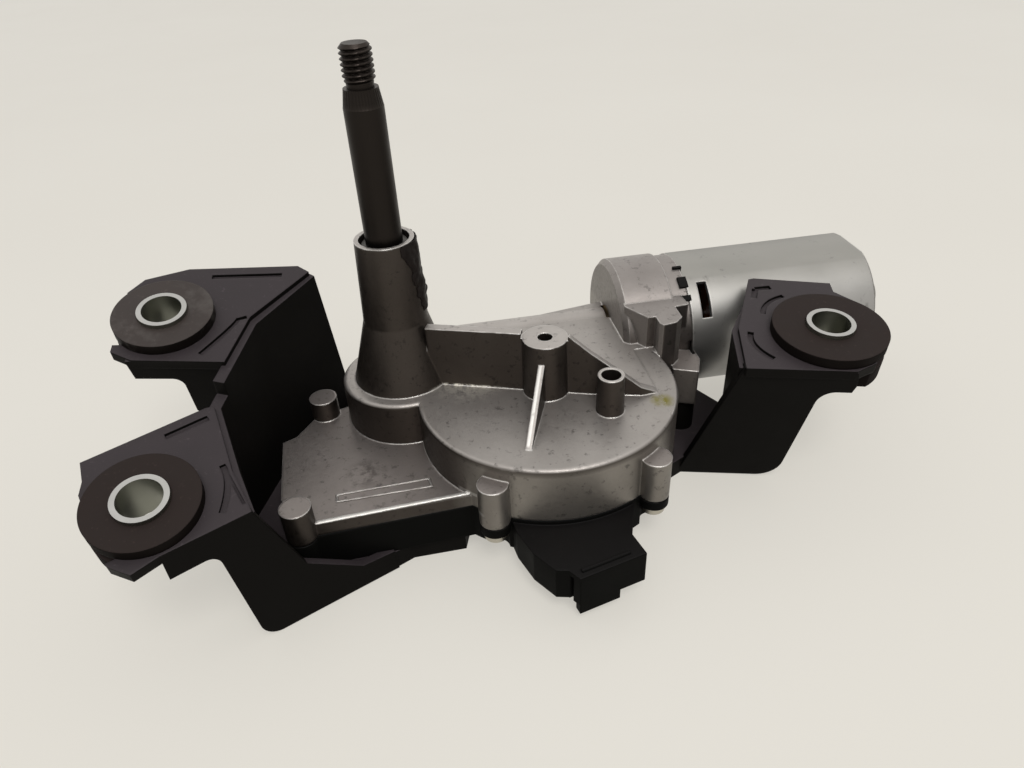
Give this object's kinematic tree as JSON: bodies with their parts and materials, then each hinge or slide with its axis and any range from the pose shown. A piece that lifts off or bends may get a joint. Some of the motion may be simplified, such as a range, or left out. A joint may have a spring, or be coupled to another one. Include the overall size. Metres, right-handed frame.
{
  "type": "wiper motor",
  "caption": "Geared wiper motor with a swinging tapered output shaft on an aluminium gear housing, drawn steel can, moulded cover, plug socket and a frame with cushioned ears.",
  "frame": {"origin": "on the output shaft's axis, at the mouth of its tower", "axes": "+Z out along the shaft, +X along the motor towards its closed end, -Y towards the plug socket"},
  "size_m": [0.2394, 0.1147, 0.1254],
  "materials": {
    "cast_aluminium": "as-cast, dull and speckled",
    "plated_can": "drawn and plated, satin",
    "frame_nylon": "moulded black, dull",
    "cover_nylon": "moulded black, dull",
    "gasket_rubber": "matt",
    "grommet_rubber": "matt",
    "sleeve_zinc": "zinc plated, weathered",
    "screw_zinc": "zinc plated",
    "dark_shaft_steel": "blackened, worn at the edges",
    "spring_steel": "phosphated",
    "washer_steel": "plain",
    "sintered_bronze": "sintered, oiled",
    "pressed_steel": "pressed, plated",
    "pin_steel": "ground",
    "wheel_nylon": "moulded, natural",
    "contact_brass": "stamped",
    "armature_steel": "ground, rolled worm",
    "core_steel": "stacked sheet",
    "enamelled_copper": "enamelled wire",
    "commutator_copper": "turned copper",
    "thrust_plastic": "moulded",
    "holder_plastic": "moulded phenolic",
    "brush_carbon": "pressed carbon",
    "ferrite": "sintered ferrite",
    "tinned_brass": "tinned"
  },
  "bodies": {
    "housing": {"brush_holder": "holder_plastic", "brushes": "brush_carbon", "connector_terminals": "tinned_brass", "cover_gasket": "gasket_rubber", "cover_screws": "screw_zinc", "field_magnets": "ferrite", "frame_screws": "screw_zinc", "front_bearing": "sintered_bronze", "gear_cover": "cover_nylon", "gear_housing": "cast_aluminium", "left_front_grommet": "grommet_rubber", "left_front_sleeve": "sleeve_zinc", "left_rear_grommet": "grommet_rubber", "left_rear_sleeve": "sleeve_zinc", "lower_bush": "sintered_bronze", "motor_can": "plated_can", "mount_frame": "frame_nylon", "rear_bearing": "sintered_bronze", "right_grommet": "grommet_rubber", "right_sleeve": "sleeve_zinc", "thrust_pad": "thrust_plastic", "upper_bush": "sintered_bronze", "wheel_axle": "pin_steel"},
    "armature": {"armature_shaft": "armature_steel", "armature_core": "core_steel", "windings": "enamelled_copper", "commutator": "commutator_copper"},
    "worm_wheel": {"worm_wheel": "wheel_nylon", "contact_disc": "contact_brass", "crank_pin": "pin_steel"},
    "link": {"connecting_link": "pressed_steel"},
    "output": {"output_shaft": "dark_shaft_steel", "output_lever": "pressed_steel", "lever_pin": "pin_steel", "shaft_circlip": "spring_steel", "thrust_washer": "washer_steel"}
  },
  "joints": [
    {"name": "armature_spin", "type": "hinge", "parent": "housing", "child": "armature", "pos_m": [0.09, 0.0195, -0.0487], "axis": [1, 0, 0], "range_deg": [0, 10800]},
    {"name": "worm_wheel_spin", "type": "hinge", "parent": "housing", "child": "worm_wheel", "pos_m": [0.04, -0.0173, -0.0487], "axis": [0, 0, 1], "range_deg": [0, 180]},
    {"name": "link_swing", "type": "hinge", "parent": "worm_wheel", "child": "link", "pos_m": [0.02846, -0.01409, -0.0645], "axis": [0, 0, 1], "range_deg": [-180, 0]},
    {"name": "output_sweep", "type": "hinge", "parent": "housing", "child": "output", "pos_m": [0, 0, 0], "axis": [0, 0, 1], "range_deg": [0, 115]}
  ],
  "couplings": [
    {"joint": "worm_wheel_spin", "follows": "armature_spin", "ratio": 0.016667},
    {"joint": "link_swing", "follows": "armature_spin", "ratio": -0.016667},
    {"joint": "output_sweep", "follows": "armature_spin", "ratio": 0.010648}
  ]
}
